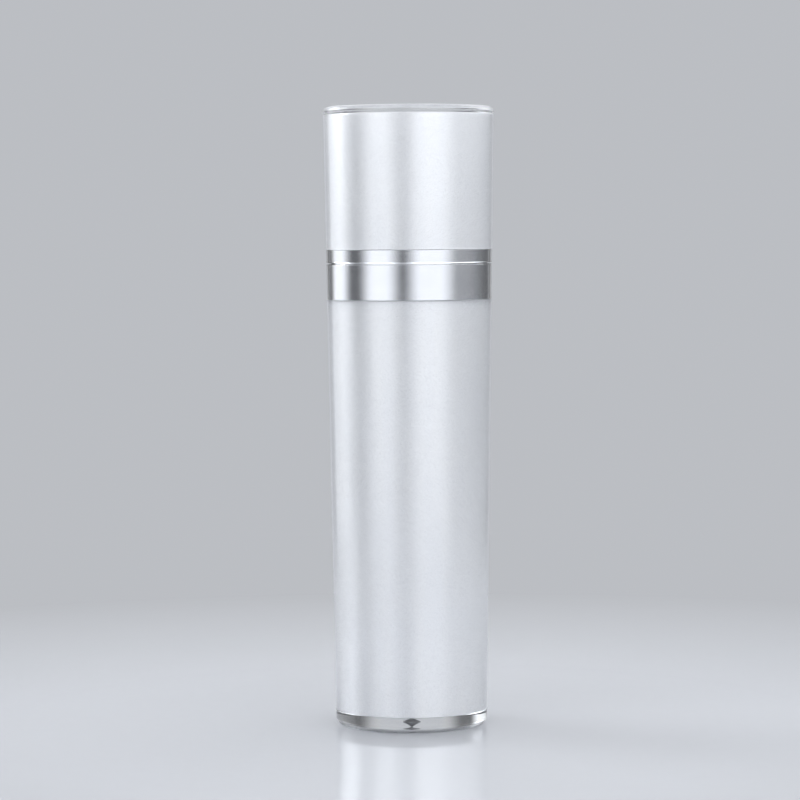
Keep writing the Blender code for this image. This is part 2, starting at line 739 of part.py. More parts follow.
def build():
    clear_objects()
    acrylic = material("clear_acrylic", (0.93, 0.94, 0.97), 0.04, transmission=0.9)
    pearl = material("pearl_polypropylene", (0.90, 0.90, 0.93), 0.35)
    silver = material("silver_plate", (0.80, 0.81, 0.85), 0.08, metallic=1.0)
    white = material("white_polypropylene", (0.88, 0.88, 0.90), 0.30)
    natural = material("natural_polyethylene", (0.80, 0.82, 0.82), 0.40)
    rubber = material("grey_elastomer", (0.55, 0.56, 0.58), 0.60)
    steel = material("spring_steel", (0.62, 0.62, 0.64), 0.25, metallic=1.0)

    overcap = empty("overcap_joint", CAP_BOTTOM)
    pump = empty("pump_joint", NECK_TOP)
    closure = empty("closure_joint", CLOSURE_BOTTOM, pump)
    plunger = empty("plunger_joint", STEM_BOTTOM, pump)
    head = empty("head_joint", HEAD_BOTTOM, plunger)
    piston = empty("piston_joint", PISTON_BOTTOM, plunger)
    ball = empty("ball_joint", BALL_CENTRE, pump)

    outer_bottle(acrylic)
    inner_bottle(pearl)
    shoulder_ring(silver)
    cap_shell(acrylic, overcap)
    cap_liner(pearl, overcap)
    neck_gasket(rubber, pump)
    pump_housing(white, pump)
    housing_retainer(white, pump)
    dip_tube(natural, pump)
    return_spring(steel, pump)
    closure_cap(white, closure)
    closure_cover(silver, closure)
    pump_stem(white, plunger)
    piston_rod(natural, plunger)
    pump_piston(natural, piston)
    actuator_head(white, head)
    inlet_ball(steel, ball)


build()
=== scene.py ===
import math
from collections import namedtuple

import bpy
import numpy as np
from mathutils import Euler, Matrix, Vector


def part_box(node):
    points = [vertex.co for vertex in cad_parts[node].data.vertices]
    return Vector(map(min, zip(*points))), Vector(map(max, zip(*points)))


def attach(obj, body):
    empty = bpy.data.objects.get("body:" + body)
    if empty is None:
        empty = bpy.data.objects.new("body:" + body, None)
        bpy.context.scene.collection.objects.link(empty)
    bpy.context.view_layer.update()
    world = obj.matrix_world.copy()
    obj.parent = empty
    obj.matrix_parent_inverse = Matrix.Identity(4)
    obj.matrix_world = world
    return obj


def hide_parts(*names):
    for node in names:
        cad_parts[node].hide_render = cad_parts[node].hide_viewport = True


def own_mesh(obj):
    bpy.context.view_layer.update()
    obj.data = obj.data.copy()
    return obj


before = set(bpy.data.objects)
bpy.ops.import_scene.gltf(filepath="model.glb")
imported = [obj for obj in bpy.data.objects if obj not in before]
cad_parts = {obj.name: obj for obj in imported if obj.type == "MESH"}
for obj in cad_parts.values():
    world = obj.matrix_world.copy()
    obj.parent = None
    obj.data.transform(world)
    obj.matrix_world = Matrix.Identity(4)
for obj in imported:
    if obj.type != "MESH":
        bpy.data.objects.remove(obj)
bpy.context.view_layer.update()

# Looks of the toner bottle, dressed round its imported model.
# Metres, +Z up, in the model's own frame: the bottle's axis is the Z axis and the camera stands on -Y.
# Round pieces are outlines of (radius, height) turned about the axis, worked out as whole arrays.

# Steps round the axis for each kind of round piece
BODY_STEPS = 240
PUMP_STEPS = 120
BALL_STEPS = 96
TUBE_STEPS = 72
DRILL_STEPS = 48

# The turn of one step along a rounded corner, how far the support points beside it stand off, in shares of
# its rounding, and the angle between faces from which an edge is sharp
ARC_STEP = math.radians(9)
SUPPORT = 0.4
CREASE = math.radians(35)

# Distance under which two points of an outline are one
SAME_PLACE = 1e-8

# Clearance between pieces that touch on the real bottle, and the finer one over and under the silver ring
FIT = 0.0003
TOUCH = 0.00006

# Roundings of moulded edges
EDGE_ROUND = 0.0003
EDGE_SOFT = 0.00012
EDGE_FOOT = 0.00048

# Clear shells and the ring between them
BASE_CORNER = 0.0020
BASE_RECESS = 0.0013
FOOT_WIDTH = 0.0026
BODY_WALL = 0.0035
GATE_RADIUS = 0.0018
GATE_DEPTH = 0.0012
CAVITY_CORNER = 0.00025
CAP_WALL = 0.0022
CAP_EDGE = 0.0013
CAP_CORNER = 0.0004
SLEEVE_WALL = 0.0010
DECK_THICKNESS = 0.0015

# Cup in the cap, with the marks of its gate and its ejector, a step deep
LINER_WALL = 0.0010
SPOT_RADIUS = 0.0012
EJECTOR_RADIUS = 0.0080
MARK_STEP = 0.00015

# Inner bottle and its neck. Neck and collar are plain here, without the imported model's thread: its depth is
# only the room that the collar and the deck's hole leave round the neck
INNER_WALL = 0.0010
INNER_CORNER = 0.0030
SHOULDER_DROP = 0.0050
NECK_RADIUS = 0.01075
NECK_WALL = 0.00175
THREAD_DEPTH = 0.0011

# Collar, its cover and the pump
COLLAR_TOP = 0.0013
COVER_WALL = 0.0007
CROWN_HOLE = 0.0060
PUMP_WALL = 0.0010
PUMP_BORE = 0.0043
CHAMBER_RADIUS = 0.0059
RETAINER_FLANGE = 0.0008
RETAINER_GUIDE = 0.0024
RETAINER_SKIRT = 0.0010
VENT_RADIUS = 0.0005
CAGE_LIP = 0.0008
SEAT_RADIUS = 0.0013
SEAT_THICKNESS = 0.0010
TUBE_WALL = 0.0007
TUBE_EDGE = 0.00014
TUBE_SLANT = 0.35

# Spring: the share of its rise that eases in and out, the pitch of a closed turn in wires, the share of the
# wire's width one step from its ends, and the steps along a turn and round the wire
SPRING_WIRE = 0.0003
SPRING_TURNS = 6
SPRING_EASE = 0.3
SPRING_CLOSED_PITCH = 1.15
SPRING_END = 0.93
SPRING_STEPS = 72
WIRE_STEPS = 20

# Stem, rod, piston and finger pad
STEM_RADIUS = 0.0030
STEM_BORE = 0.0016
STEM_FLANGE = 0.0012
STEM_TAIL = 0.0034
PISTON_LIP = 0.0008
PISTON_WAIST = 0.0007
PISTON_BORE = 0.0019
ROD_RADIUS = 0.0013
ROD_HEAD = 0.0010
PAD_WALL = 0.0012
PAD_RECESS = 0.0052
PAD_EDGE = 0.0008
DISH_DEPTH = 0.0007
DISH_POINTS = 15
HUB_WALL = 0.0016
OUTLET_RADIUS = 0.0009

# Nozzle: its even part is the share of its length from which its rings are flat. Its steps are those along
# its flare, along the rest of its length, along its tip and round it
NOZZLE_ROOT = 0.0022
NOZZLE_TIP = 0.0018
NOZZLE_FLARE = 0.0007
NOZZLE_SINK = 0.0007
NOZZLE_EVEN = 0.8
FLARE_STEPS = 8
NOZZLE_LENGTH_STEPS = 12
TIP_STEPS = 6
NOZZLE_STEPS = 96

# Camera: the picture is 800 pixels square
PICTURE_WIDTH = 800
FOCAL_PIXELS = 3193.7
SENSOR_WIDTH = 36.0
NEAREST_SEEN = 0.01
CAMERA_PLACE = (0.0, -0.900, 0.140)
CAMERA_PITCH = 3.08
CAMERA_YAW = 0.179
CAMERA_ROLL = -0.351

# Table, a hair under the bottle. Its tone runs into the backdrop's over the first pair of distances from the
# axis, and it clears away over the second, so that it has no edge
BACKDROP = (0.50, 0.515, 0.545)
TABLE_COLOUR = (0.60, 0.612, 0.64)
TABLE_FADE = (0.12, 0.32)
TABLE_CLEARING = (0.32, 0.56)
TABLE_DROP = 0.00004
TABLE_INNER_RING = 0.02
TABLE_RINGS = 24
TABLE_STEPS = 96

# Lit screen round the bottle, from a drop below the table up. Strengths come in pairs, a lower and an upper
# one, and the step is the pair of heights between which the one runs into the other
SCREEN_RADIUS = 1.3
SCREEN_HEIGHT = 0.95
SCREEN_DROP = 0.6
SCREEN_END = 164
SCREEN_STEPS = 120
SCREEN_ROWS = 8
SCREEN_STEP = (0.24, 0.46)
SCREEN_DIM = (0.14, 0.65)
SCREEN_TINT = (0.945, 0.966, 1.0)

# Lamps behind the screen: the azimuths from the camera's side where the glow starts, is full, starts to fall
# and ends, and its pair of strengths. The first and the last bring the screen's ends near the backdrop's tone
SCREEN_LAMPS = (
    (-190, -180, -164, -150, 0.4, -0.1),
    (-143, -130, -112, -88, 1.1, 7.5),
    (-80, -52, -34, -6, 1.06, 2.6),
    (-12, 17, 43, 74, 1.04, 2.9),
    (40, 66, 78, 150, 0.25, 1.8),
    (74, 100, 128, 160, 0.0, 1.6),
    (148, 164, 180, 190, 0.4, -0.1),
)

# Numbers of the finishes of a clear shell
ACRYLIC, LACQUER, GATE = 0, 1, 2

# A corner of an outline. Its finish is that of the stretch after it, and its row is how tall that stretch's
# rows are, with 0 for a stretch that isn't split
Corner = namedtuple("Corner", "radius height rounding finish row", defaults=(0.0, ACRYLIC, 0.0))


def span(node):
    """A node's lowest and highest level and its radius."""
    low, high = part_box(node)
    return low.z, high.z, high.x


RIM = span("outer_bottle")[1]
RIM_RADIUS = span("outer_bottle")[2]
CAP_BOTTOM, TOTAL_HEIGHT, TOP_RADIUS = span("cap_shell")
MOUTH_FLOOR = span("shoulder_ring")[0] - FIT
DECK_TOP = span("shoulder_ring")[1]
SPIGOT_RADIUS = span("shoulder_ring")[2]
MOUTH_RADIUS = SPIGOT_RADIUS + FIT
NECK_TOP = span("inner_bottle")[1]
LINER_BOTTOM = span("cap_liner")[0]
CAP_CEILING = span("cap_liner")[1] + FIT
COLLAR_BOTTOM, COLLAR_CROWN, COLLAR_RADIUS = span("closure_cap")
THREAD_RADIUS = NECK_RADIUS + THREAD_DEPTH


def cone(height):
    """The outer form's radius at a height, on a straight line through the bottle's rim and the cap's top."""
    slope = (TOP_RADIUS - RIM_RADIUS) / (TOTAL_HEIGHT - RIM)
    return RIM_RADIUS + slope * (height - RIM)


def edged(places, rounding):
    """Corners at places of (radius, height), all rounded alike."""
    return [Corner(radius, height, rounding) for radius, height in places]


def filleted(corners, closed):
    """Rounds each corner of an outline, and says which finish and row each stretch has.

    The arc at a corner touches both stretches: it starts the rounding times the tangent of half the turn
    before the corner, and turns evenly about a centre that lies the rounding's length off the first stretch.
    A support point on each side of it keeps the shading of the long stretches flat.
    """
    spots = [np.array((c.radius, c.height)) for c in corners]
    points, kinds, rows = [], [], []
    for i, corner in enumerate(corners):
        here = spots[i]
        at_end = not closed and i in (0, len(corners) - 1)
        if at_end or corner.rounding == 0:
            points.append(here[None])
            kinds.append([corner.finish])
            rows.append([corner.row])
            continue
        before, after = here - spots[i - 1], spots[(i + 1) % len(corners)] - here
        length_in, length_out = np.hypot(*before), np.hypot(*after)
        into, out = before / length_in, after / length_out
        turn = math.atan2(into[0] * out[1] - into[1] * out[0], into @ out)
        reach = corner.rounding * math.tan(abs(turn) / 2)
        aside = np.array((-into[1], into[0])) * math.copysign(1.0, turn)
        centre = here - into * reach + aside * corner.rounding
        first = -aside * corner.rounding
        crossed = np.array((-first[1], first[0]))
        angles = np.linspace(0, turn, math.ceil(abs(turn) / ARC_STEP) + 1)[:, None]
        arc = centre + first * np.cos(angles) + crossed * np.sin(angles)
        lead = max(min(SUPPORT * corner.rounding, (length_in - reach) / 4), 0)
        trail = max(min(SUPPORT * corner.rounding, (length_out - reach) / 4), 0)
        points.append(np.vstack((arc[0] - into * lead, arc, arc[-1] + out * trail)))
        kinds.append([corners[i - 1].finish] * len(arc) + [corner.finish] * 2)
        rows.append([0.0] * (len(arc) + 1) + [corner.row])
    points, kinds, rows = np.vstack(points), np.concatenate(kinds), np.concatenate(rows)
    new = np.hypot(*(points - np.roll(points, 1, axis=0)).T) > SAME_PLACE
    return points[new], kinds[new], rows[new]


def rows_added(points, kinds, rows):
    """Splits each stretch that asks for rows, evenly, into rows no taller than it says."""
    split, named = [], []
    for here, there, kind, row in zip(points, np.roll(points, -1, axis=0), kinds, rows):
        pieces = math.ceil(np.hypot(*(there - here)) / row) if row else 1
        share = np.arange(pieces)[:, None] / pieces
        split.append(here + (there - here) * share)
        named.append(np.full(pieces, kind))
    return np.vstack(split), np.concatenate(named)


def skin(low, high):
    """Four-cornered faces between rings of corners and the rings after them."""
    faces = np.stack((low, np.roll(low, -1, axis=-1), np.roll(high, -1, axis=-1), high), axis=-1)
    return faces.reshape(-1, 4)


def fan(middle, ring, side):
    """Triangles between one corner and a ring, which look along the ring's axis (side 1) or back (-1)."""
    pair = (ring, np.roll(ring, -1))[::side]
    return np.stack((np.full(len(ring), middle), *pair), axis=-1)


def mesh_piece(name, places, blocks, finishes):
    """A piece from its corners' places and blocks of faces.

    Each block is an array with one face a row, and the number of its faces' finish, or of each one's.
    """
    mesh = bpy.data.meshes.new(name)
    mesh.vertices.add(len(places))
    mesh.vertices.foreach_set("co", places.astype(np.float32).ravel())
    sizes = np.concatenate([np.full(len(faces), faces.shape[1]) for faces, kind in blocks])
    around = np.concatenate([faces.ravel() for faces, kind in blocks])
    mesh.loops.add(len(around))
    mesh.loops.foreach_set("vertex_index", around.astype(np.int32))
    mesh.polygons.add(len(sizes))
    mesh.polygons.foreach_set("loop_start", (np.cumsum(sizes) - sizes).astype(np.int32))
    kinds = np.concatenate([np.broadcast_to(kind, len(faces)) for faces, kind in blocks])
    mesh.polygons.foreach_set("material_index", kinds.astype(np.int32))
    mesh.update(calc_edges=True)
    mesh.validate()
    smoothed(mesh)
    for finish in finishes:
        mesh.materials.append(finish)
    piece = bpy.data.objects.new(name, mesh)
    bpy.context.scene.collection.objects.link(piece)
    return piece


def smoothed(mesh):
    """Smooth shading that breaks at creases."""
    mesh.shade_smooth()
    mesh.set_sharp_from_angle(angle=CREASE)


def turned(name, corners, finishes, steps=PUMP_STEPS, relief=None):
    """An outline turned about the axis: radius r, height z and angle a give (r cos a, r sin a, z).

    An outline that starts and ends on the axis is closed there by fans of triangles, and any other closes on
    itself. relief(radius, height, angle) may move the corners of its rings before they are placed.
    """
    closed = corners[0].radius > 0
    points, kinds = rows_added(*filleted(corners, closed))
    after = np.roll(points, -1, axis=0)
    if np.sum(points[:, 0] * after[:, 1] - after[:, 0] * points[:, 1]) < 0:
        points, kinds = points[::-1], np.roll(kinds[::-1], -1)
    rings = points if closed else points[1:-1]
    radius, height = (np.repeat(column[:, None], steps, axis=1) for column in rings.T)
    angle = np.broadcast_to(2 * math.pi * np.arange(steps) / steps, radius.shape)
    if relief:
        radius, height = relief(radius, height, angle)
    places = np.stack((radius * np.cos(angle), radius * np.sin(angle), height), axis=-1).reshape(-1, 3)
    index = np.arange(len(places)).reshape(-1, steps)
    if closed:
        blocks = [(skin(index, np.roll(index, -1, axis=0)), np.repeat(kinds, steps))]
        return mesh_piece(name, places, blocks, finishes)
    foot, tip = len(places), len(places) + 1
    places = np.vstack((places, (0, 0, points[0, 1]), (0, 0, points[-1, 1])))
    blocks = [
        (skin(index[:-1], index[1:]), np.repeat(kinds[1:-2], steps)),
        (fan(foot, index[0], -1), kinds[0]),
        (fan(tip, index[-1], 1), kinds[-2]),
    ]
    return mesh_piece(name, places, blocks, finishes)


def carved(piece, tool, operation):
    """The piece with the tool joined to it or cut from it, exactly. The tool is used up."""
    step = piece.modifiers.new("carve", "BOOLEAN")
    step.operation = operation
    step.object = tool
    step.solver = "EXACT"
    graph = bpy.context.evaluated_depsgraph_get()
    mesh = bpy.data.meshes.new_from_object(piece.evaluated_get(graph))
    piece.modifiers.clear()
    piece.data = mesh
    smoothed(mesh)
    bpy.data.objects.remove(tool)
    return piece


def finish_tree(name, colour, roughness, **constants):
    """A new material with one Principled shader. The keywords are sockets that don't vary over the piece."""
    material = bpy.data.materials.new(name)
    material.use_nodes = True
    material.diffuse_color = (*colour, 1.0)
    shader = material.node_tree.nodes["Principled BSDF"]
    shader.inputs["Base Color"].default_value = (*colour, 1.0)
    shader.inputs["Roughness"].default_value = roughness
    for socket, value in constants.items():
        shader.inputs[socket.replace("_", " ")].default_value = value
    return material, material.node_tree, shader


def own_places(tree):
    """Each place's coordinates in its own piece."""
    return tree.nodes.new("ShaderNodeTexCoord").outputs["Object"]


def stretched(tree, places, stretch):
    """Places scaled along each axis: what varies with them runs long where the scale is small."""
    node = tree.nodes.new("ShaderNodeMapping")
    node.inputs["Scale"].default_value = stretch
    tree.links.new(places, node.inputs["Vector"])
    return node.outputs["Vector"]


def length(tree, vector):
    """The length of a vector."""
    node = tree.nodes.new("ShaderNodeVectorMath")
    node.operation = "LENGTH"
    tree.links.new(vector, node.inputs[0])
    return node.outputs["Value"]


def separated(tree, places):
    """The X, Y and Z of places."""
    node = tree.nodes.new("ShaderNodeSeparateXYZ")
    tree.links.new(places, node.inputs["Vector"])
    return [node.outputs[axis] for axis in "XYZ"]


def turned_places(tree):
    """Places as (distance from the axis, height): what varies with them runs in rings round the axis."""
    x, y, z = separated(tree, own_places(tree))
    across = tree.nodes.new("ShaderNodeCombineXYZ")
    tree.links.new(x, across.inputs["X"])
    tree.links.new(y, across.inputs["Y"])
    rings = tree.nodes.new("ShaderNodeCombineXYZ")
    tree.links.new(length(tree, across.outputs["Vector"]), rings.inputs["X"])
    tree.links.new(z, rings.inputs["Y"])
    return rings.outputs["Vector"]


def cloud(tree, places, scale, detail=2.0, roughness=0.5):
    """Soft noise, with a scale in patches a metre."""
    node = tree.nodes.new("ShaderNodeTexNoise")
    node.inputs["Scale"].default_value = scale
    node.inputs["Detail"].default_value = detail
    node.inputs["Roughness"].default_value = roughness
    tree.links.new(places, node.inputs["Vector"])
    return node.outputs["Fac"]


def flecks(tree, places, scale):
    """A random value for each small cell, as mica flakes have."""
    node = tree.nodes.new("ShaderNodeTexVoronoi")
    node.inputs["Scale"].default_value = scale
    tree.links.new(places, node.inputs["Vector"])
    split = tree.nodes.new("ShaderNodeSeparateColor")
    tree.links.new(node.outputs["Color"], split.inputs["Color"])
    return split.outputs["Red"]


def between(tree, value, start, end, low, high, smooth=False):
    """A value carried from start and end to low and high, and held outside them."""
    node = tree.nodes.new("ShaderNodeMapRange")
    if smooth:
        node.interpolation_type = "SMOOTHSTEP"
    node.inputs["From Min"].default_value = start
    node.inputs["From Max"].default_value = end
    node.inputs["To Min"].default_value = low
    node.inputs["To Max"].default_value = high
    tree.links.new(value, node.inputs["Value"])
    return node.outputs["Result"]


def spread(tree, noise, low, high):
    """A noise carried to low and high from the middle of its range, where nearly all of it lies."""
    return between(tree, noise, 0.3, 0.7, low, high)


def summed(tree, first, second, operation="ADD"):
    """Two values added, or put together in another way."""
    node = tree.nodes.new("ShaderNodeMath")
    node.operation = operation
    tree.links.new(first, node.inputs[0])
    tree.links.new(second, node.inputs[1])
    return node.outputs["Value"]


def toned(tree, share, first, second):
    """A colour between two, by a share."""
    node = tree.nodes.new("ShaderNodeMix")
    node.data_type = "RGBA"
    node.inputs["A"].default_value = (*first, 1.0)
    node.inputs["B"].default_value = (*second, 1.0)
    tree.links.new(share, node.inputs["Factor"])
    return node.outputs["Result"]


def bumped(tree, shader, height, depth):
    """Gives a finish the relief of a height that runs from 0 to 1, so many metres deep."""
    node = tree.nodes.new("ShaderNodeBump")
    node.inputs["Distance"].default_value = depth
    node.inputs["Strength"].default_value = 1.0
    tree.links.new(height, node.inputs["Height"])
    tree.links.new(node.outputs["Normal"], shader.inputs["Normal"])


def clear_acrylic():
    """Polished acrylic: almost no colour, faint flow from moulding and a breath of handling on its gloss."""
    finish, tree, shader = finish_tree(
        "clear_acrylic", (0.99, 0.994, 1.0), 0.02, Transmission_Weight=1.0, IOR=1.49
    )
    places = own_places(tree)
    haze = cloud(tree, places, 55, 3.0)
    wipes = cloud(tree, stretched(tree, places, (1, 1, 0.15)), 900, 4.0, 0.6)
    flow = cloud(tree, stretched(tree, places, (1, 1, 0.3)), 35, 1.0)
    colour = toned(tree, haze, (0.982, 0.989, 1.0), (0.995, 0.998, 1.0))
    tree.links.new(colour, shader.inputs["Base Color"])
    tree.links.new(between(tree, wipes, 0.3, 0.75, 0.0, 0.035), shader.inputs["Roughness"])
    bumped(tree, shader, flow, 0.00002)
    return finish


def frosted_gate():
    """The torn, matt skin that the moulding gate leaves on clear acrylic."""
    finish, tree, shader = finish_tree(
        "frosted_gate", (0.96, 0.97, 0.99), 0.6, Transmission_Weight=0.55, IOR=1.49
    )
    torn = cloud(tree, own_places(tree), 2400, 4.0, 0.6)
    tree.links.new(spread(tree, torn, 0.45, 0.8), shader.inputs["Roughness"])
    bumped(tree, shader, torn, 0.00006)
    return finish


def pearl_lacquer():
    """Pearl lacquer behind the acrylic: satin white with mica, soft clouds and fine upright streaks."""
    finish, tree, shader = finish_tree(
        "pearl_lacquer", (0.967, 0.977, 0.996), 0.32, Metallic=0.40, Specular_IOR_Level=0.0
    )
    places = own_places(tree)
    clouds = cloud(tree, places, 45, 3.0)
    streaks = cloud(tree, stretched(tree, places, (1, 1, 0.03)), 420, 3.0)
    flakes = flecks(tree, places, 22000)
    tone = summed(tree, spread(tree, clouds, 0.0, 0.35), spread(tree, streaks, 0.0, 0.4))
    tone = summed(tree, tone, between(tree, flakes, 0.0, 1.0, 0.0, 0.25))
    colour = toned(tree, tone, (0.95, 0.963, 0.992), (0.984, 0.99, 1.0))
    tree.links.new(colour, shader.inputs["Base Color"])
    tree.links.new(between(tree, flakes, 0.0, 1.0, 0.25, 0.33), shader.inputs["Roughness"])
    bumped(tree, shader, flakes, 0.0000006)
    return finish


def silver_plating():
    """Bright plating over moulded plastic: rings of polish and a slight flow under the metal."""
    finish, tree, shader = finish_tree("silver_plating", (0.85, 0.86, 0.89), 0.15, Metallic=1.0)
    places = own_places(tree)
    polish = cloud(tree, turned_places(tree), 5200, 4.0, 0.65)
    bloom = cloud(tree, places, 130, 3.0)
    flow = cloud(tree, places, 60, 1.0)
    rough = summed(tree, spread(tree, polish, 0.12, 0.18), between(tree, bloom, 0.35, 0.7, 0.0, 0.04))
    colour = toned(tree, bloom, (0.825, 0.836, 0.87), (0.875, 0.885, 0.91))
    tree.links.new(rough, shader.inputs["Roughness"])
    tree.links.new(colour, shader.inputs["Base Color"])
    bumped(tree, shader, flow, 0.000012)
    return finish


def moulded(name, colour, dark, roughness, grain=1500, **constants):
    """Moulded plastic: faint flow in its colour, and a fine even grain that its gloss varies with."""
    finish, tree, shader = finish_tree(name, colour, roughness, **constants)
    places = own_places(tree)
    flow = cloud(tree, places, 120, 3.0)
    fine = cloud(tree, places, grain, 3.0, 0.6)
    tree.links.new(toned(tree, flow, dark, colour), shader.inputs["Base Color"])
    tree.links.new(spread(tree, fine, roughness - 0.06, roughness + 0.06), shader.inputs["Roughness"])
    bumped(tree, shader, fine, 0.000002)
    return finish


def drawn_steel():
    """Stainless wire and a polished ball: fine drawing marks and slight smears."""
    finish, tree, shader = finish_tree("drawn_steel", (0.62, 0.62, 0.64), 0.22, Metallic=1.0)
    places = own_places(tree)
    marks = cloud(tree, stretched(tree, places, (0.2, 0.2, 1)), 6000, 3.0)
    smears = cloud(tree, places, 350, 2.0)
    colour = toned(tree, smears, (0.56, 0.56, 0.585), (0.68, 0.68, 0.70))
    tree.links.new(colour, shader.inputs["Base Color"])
    tree.links.new(spread(tree, marks, 0.14, 0.30), shader.inputs["Roughness"])
    bumped(tree, shader, marks, 0.000003)
    return finish


CLEAR = clear_acrylic()
FROSTED = frosted_gate()
PEARL = pearl_lacquer()
SILVER = silver_plating()
WHITE = moulded("moulded_white", (0.88, 0.88, 0.90), (0.85, 0.852, 0.875), 0.30)
CUP_WHITE = moulded("cup_white", (0.90, 0.90, 0.93), (0.865, 0.868, 0.90), 0.34, grain=1100)
WAXY = moulded(
    "waxy_natural", (0.80, 0.82, 0.82), (0.74, 0.765, 0.765), 0.40,
    Subsurface_Weight=0.15, Subsurface_Scale=0.002,
)
RUBBER = moulded("matt_elastomer", (0.55, 0.56, 0.58), (0.50, 0.51, 0.53), 0.60, grain=2600)
STEEL = drawn_steel()


def dressed(piece, node, body):
    """The piece stands in for a node, whose imported part it hides, and moves with its body."""
    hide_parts(node)
    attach(piece, body)
    return piece


def clear_bottle():
    """Thick clear shell on a foot ring, with the gate's hollow in its recess and lacquer in its cavity."""
    floor = span("inner_bottle")[0] - FIT
    foot = cone(0.0) - BASE_CORNER - FOOT_WIDTH
    corners = [
        Corner(0.0, BASE_RECESS + GATE_DEPTH, 0.0, GATE),
        Corner(GATE_RADIUS, BASE_RECESS, EDGE_SOFT),
        Corner(foot - BASE_RECESS, BASE_RECESS, EDGE_FOOT),
        Corner(foot, 0.0, EDGE_FOOT),
        Corner(cone(0.0), 0.0, BASE_CORNER),
        Corner(RIM_RADIUS, RIM, EDGE_ROUND),
        Corner(MOUTH_RADIUS, RIM, EDGE_SOFT),
        Corner(MOUTH_RADIUS, MOUTH_FLOOR, 0.0, LACQUER),
        Corner(cone(MOUTH_FLOOR) - BODY_WALL, MOUTH_FLOOR, EDGE_ROUND, LACQUER),
        Corner(cone(floor) - BODY_WALL, floor, CAVITY_CORNER, LACQUER),
        Corner(0.0, floor),
    ]
    piece = turned("clear_bottle", corners, [CLEAR, PEARL, FROSTED], BODY_STEPS)
    return dressed(piece, "outer_bottle", "bottle")


def clear_cap():
    """Clear cup of the overcap, lacquered inside, with a thin bare mouth over the spigot."""
    step = DECK_TOP + TOUCH
    corners = [
        Corner(0.0, CAP_CEILING, 0.0, LACQUER),
        Corner(cone(CAP_CEILING) - CAP_WALL, CAP_CEILING, CAP_CORNER, LACQUER),
        Corner(cone(step) - CAP_WALL, step, EDGE_ROUND, LACQUER),
        Corner(MOUTH_RADIUS, step),
        Corner(MOUTH_RADIUS, CAP_BOTTOM, EDGE_SOFT),
        Corner(cone(CAP_BOTTOM), CAP_BOTTOM, EDGE_ROUND),
        Corner(TOP_RADIUS, TOTAL_HEIGHT, CAP_EDGE),
        Corner(0.0, TOTAL_HEIGHT),
    ]
    piece = turned("clear_cap", corners, [CLEAR, PEARL], BODY_STEPS)
    return dressed(piece, "cap_shell", "overcap")


def cap_cup():
    """White cup inside the overcap, with its gate's spot and the ring of its ejector in the ceiling."""
    outer = CAP_WALL + FIT
    inner = outer + LINER_WALL
    top = CAP_CEILING - FIT
    ceiling = top - LINER_WALL
    raised = ceiling + MARK_STEP
    marks = [
        (0.0, raised), (SPOT_RADIUS, raised), (SPOT_RADIUS + MARK_STEP, ceiling),
        (EJECTOR_RADIUS, ceiling), (EJECTOR_RADIUS + MARK_STEP, raised),
        (EJECTOR_RADIUS + 3 * MARK_STEP, raised), (EJECTOR_RADIUS + 4 * MARK_STEP, ceiling),
    ]
    corners = edged(marks, MARK_STEP / 3) + [
        Corner(cone(ceiling) - inner, ceiling, LINER_WALL),
        Corner(cone(LINER_BOTTOM) - inner, LINER_BOTTOM, EDGE_ROUND),
        Corner(cone(LINER_BOTTOM) - outer, LINER_BOTTOM, EDGE_ROUND),
        Corner(cone(top) - outer, top, CAP_CORNER),
        Corner(0.0, top),
    ]
    piece = turned("cap_cup", corners, [CUP_WHITE], BODY_STEPS)
    return dressed(piece, "cap_liner", "overcap")


def silver_ring():
    """Plated ring: sleeve in the bottle's mouth, spigot for the cap and the deck between them."""
    bottom = MOUTH_FLOOR + TOUCH
    inner = SPIGOT_RADIUS - SLEEVE_WALL
    hole = THREAD_RADIUS + FIT
    deck = DECK_TOP - DECK_THICKNESS
    corners = [
        Corner(SPIGOT_RADIUS, bottom, EDGE_SOFT),
        Corner(SPIGOT_RADIUS, DECK_TOP, EDGE_SOFT),
        Corner(hole, DECK_TOP, EDGE_SOFT),
        Corner(hole, deck, EDGE_SOFT),
        Corner(inner, deck, EDGE_ROUND),
        Corner(inner, bottom, EDGE_SOFT),
    ]
    piece = turned("silver_ring", corners, [SILVER], BODY_STEPS)
    return dressed(piece, "shoulder_ring", "bottle")


def liquid_bottle():
    """White inner bottle: walls along the shell's cavity, round shoulder, and a plain neck."""
    floor = span("inner_bottle")[0]
    top = DECK_TOP - DECK_THICKNESS - FIT
    shoulder = top - SHOULDER_DROP
    outer = BODY_WALL + FIT
    inner = outer + INNER_WALL
    bore = NECK_RADIUS - NECK_WALL
    corners = [
        Corner(0.0, floor),
        Corner(cone(floor) - outer, floor, INNER_CORNER),
        Corner(cone(shoulder) - outer, top, SHOULDER_DROP),
        Corner(NECK_RADIUS, top, EDGE_ROUND),
        Corner(NECK_RADIUS, NECK_TOP, EDGE_ROUND),
        Corner(bore, NECK_TOP, EDGE_ROUND),
        Corner(bore, top - INNER_WALL, EDGE_ROUND),
        Corner(cone(shoulder) - inner, top - INNER_WALL, SHOULDER_DROP - INNER_WALL),
        Corner(cone(floor) - inner, floor + INNER_WALL, INNER_CORNER - INNER_WALL),
        Corner(0.0, floor + INNER_WALL),
    ]
    piece = turned("liquid_bottle", corners, [CUP_WHITE], BODY_STEPS)
    return dressed(piece, "inner_bottle", "bottle")


